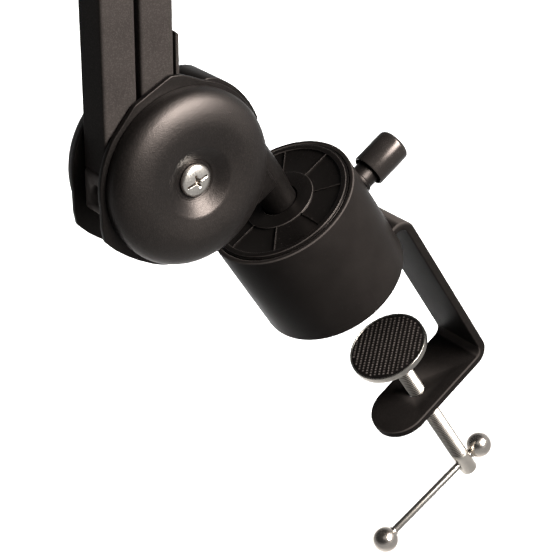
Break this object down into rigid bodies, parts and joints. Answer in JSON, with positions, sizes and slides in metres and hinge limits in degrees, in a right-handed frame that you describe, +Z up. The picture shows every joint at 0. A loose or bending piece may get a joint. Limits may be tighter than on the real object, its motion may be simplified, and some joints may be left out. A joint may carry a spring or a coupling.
{
  "type": "desktop microphone stand",
  "caption": "Desk-clamped microphone arm: swivelling drum base, domed yoke, two twin-bar spring arms and a tilting threaded fork.",
  "frame": {"origin": "centre of the base's underside, where its pad rests on the desk", "axes": "+Z up out of the desk, the clamp's back at +X beyond the desk's edge, the arms folding towards -X in the XZ plane"},
  "size_m": [0.4775, 0.068, 0.7408],
  "materials": {
    "black_paint": "fine textured satin black powder coat",
    "black_bar": "matt black anodised",
    "black_plastic": "smooth satin",
    "grey_plastic": "moulded, dull",
    "rubber": "matt, ribbed",
    "chrome": "polished",
    "nickel": "bright nickel plate",
    "steel": "zinc plated",
    "bronze": "sintered, oiled",
    "brass": "turned"
  },
  "bodies": {
    "base": {"base_housing": "black_paint", "top_lid": "black_paint", "bottom_cover": "steel", "desk_pad": "rubber", "stem_bush": "bronze", "c_bracket": "black_paint", "flange_screw_1": "steel", "flange_screw_2": "steel"},
    "brake": {"brake_plug": "brass"},
    "thumb": {"thumb_screw": "black_paint", "thumb_knob": "black_plastic"},
    "clip": {"pad_clip": "steel"},
    "pad": {"pad_cup": "nickel", "clamp_pad": "rubber"},
    "clamp_screw": {"clamp_rod": "nickel"},
    "handle": {"tommy_bar": "nickel", "bar_ball_1": "chrome", "bar_ball_2": "chrome"},
    "yoke": {"yoke_casting": "black_paint", "thrust_ring": "steel", "stem_bolt": "steel", "yoke_cover_front": "black_paint", "yoke_cover_back": "black_paint", "yoke_cover_screw_front": "chrome", "yoke_cover_screw_back": "chrome", "yoke_rear_pin": "steel", "yoke_front_pin": "steel"},
    "lower_rear": {"lower_rear_bar": "black_bar", "lower_rear_plug_near": "grey_plastic", "lower_rear_plug_far": "grey_plastic", "lower_rear_washer_front": "nickel", "lower_rear_washer_back": "nickel"},
    "lower_front": {"lower_front_bar": "black_bar", "lower_front_plug_near": "grey_plastic", "lower_front_plug_far": "grey_plastic", "lower_spring": "steel", "lower_spring_anchor": "steel", "stop_strip": "black_bar"},
    "elbow": {"elbow_casting": "black_paint", "elbow_lower_rear_pin": "steel", "elbow_lower_front_pin": "steel", "elbow_upper_rear_pin": "steel", "elbow_upper_front_pin": "steel", "elbow_cover_front": "black_paint", "elbow_cover_back": "black_paint", "elbow_cover_screw_front": "chrome", "elbow_cover_screw_back": "chrome"},
    "upper_rear": {"upper_rear_bar": "black_bar", "upper_rear_plug_near": "grey_plastic", "upper_rear_plug_far": "grey_plastic"},
    "upper_front": {"upper_front_bar": "black_bar", "upper_front_plug_near": "grey_plastic", "upper_front_plug_far": "grey_plastic", "upper_spring": "steel", "upper_spring_anchor": "steel"},
    "head": {"head_bracket": "black_paint", "head_rear_pin": "steel", "head_front_pin": "steel"},
    "fork": {"mic_fork": "black_paint", "tilt_knob": "black_plastic"}
  },
  "joints": [
    {"name": "base_swivel", "type": "hinge", "parent": "base", "child": "yoke", "pos_m": [0, 0, 0], "axis": [0, 0, 1], "continuous": true},
    {"name": "lower_arm", "type": "hinge", "parent": "yoke", "child": "lower_rear", "pos_m": [-0.05485, 0, 0.12018], "axis": [0, -1, 0], "range_deg": [-5, 98]},
    {"name": "lower_front_bar_turn", "type": "hinge", "parent": "yoke", "child": "lower_front", "pos_m": [-0.03068, 0, 0.12583], "axis": [0, -1, 0], "range_deg": [-5, 98]},
    {"name": "elbow_turn", "type": "hinge", "parent": "lower_rear", "child": "elbow", "pos_m": [0.15378, 0, 0.43778], "axis": [0, -1, 0], "range_deg": [-98, 5]},
    {"name": "upper_arm", "type": "hinge", "parent": "elbow", "child": "upper_rear", "pos_m": [0.15778, 0, 0.46879], "axis": [0, -1, 0], "range_deg": [-65, 39]},
    {"name": "upper_front_bar_turn", "type": "hinge", "parent": "elbow", "child": "upper_front", "pos_m": [0.16827, 0, 0.49128], "axis": [0, -1, 0], "range_deg": [-65, 39]},
    {"name": "head_turn", "type": "hinge", "parent": "upper_rear", "child": "head", "pos_m": [-0.21392, 0, 0.54779], "axis": [0, -1, 0], "range_deg": [-39, 65]},
    {"name": "mic_tilt", "type": "hinge", "parent": "head", "child": "fork", "pos_m": [-0.25467, 0, 0.55904], "axis": [0, -1, 0], "range_deg": [-95, 40]},
    {"name": "brake_travel", "type": "slide", "parent": "base", "child": "brake", "axis": [1, 0, 0], "range_m": [0, 0.002]},
    {"name": "thumb_screw_turn", "type": "hinge", "parent": "brake", "child": "thumb", "pos_m": [0, 0, 0.0295], "axis": [1, 0, 0], "range_deg": [0, 720.4]},
    {"name": "clamp_travel", "type": "slide", "parent": "base", "child": "clip", "axis": [0, 0, 1], "range_m": [-0.02401, 0.05151]},
    {"name": "clamp_screw_turn", "type": "hinge", "parent": "clip", "child": "clamp_screw", "pos_m": [0.0035, 0, 0], "axis": [0, 0, 1], "range_deg": [-6912, 14832]},
    {"name": "pad_tilt", "type": "hinge", "parent": "clip", "child": "pad", "pos_m": [0.0035, 0, -0.062], "axis": [0, 1, 0], "range_deg": [-8, 8]},
    {"name": "handle_slide", "type": "slide", "parent": "clamp_screw", "child": "handle", "axis": [-0.9983, 0.0584, 0], "range_m": [-0.0448, 0]}
  ],
  "couplings": [
    {"joint": "lower_front_bar_turn", "follows": "lower_arm", "ratio": 1},
    {"joint": "elbow_turn", "follows": "lower_arm", "ratio": -1},
    {"joint": "upper_front_bar_turn", "follows": "upper_arm", "ratio": 1},
    {"joint": "head_turn", "follows": "upper_arm", "ratio": -1},
    {"joint": "thumb_screw_turn", "follows": "brake_travel", "rad_per_m": 6283.2},
    {"joint": "clamp_travel", "follows": "clamp_screw_turn", "m_per_rad": 0.00019894}
  ]
}
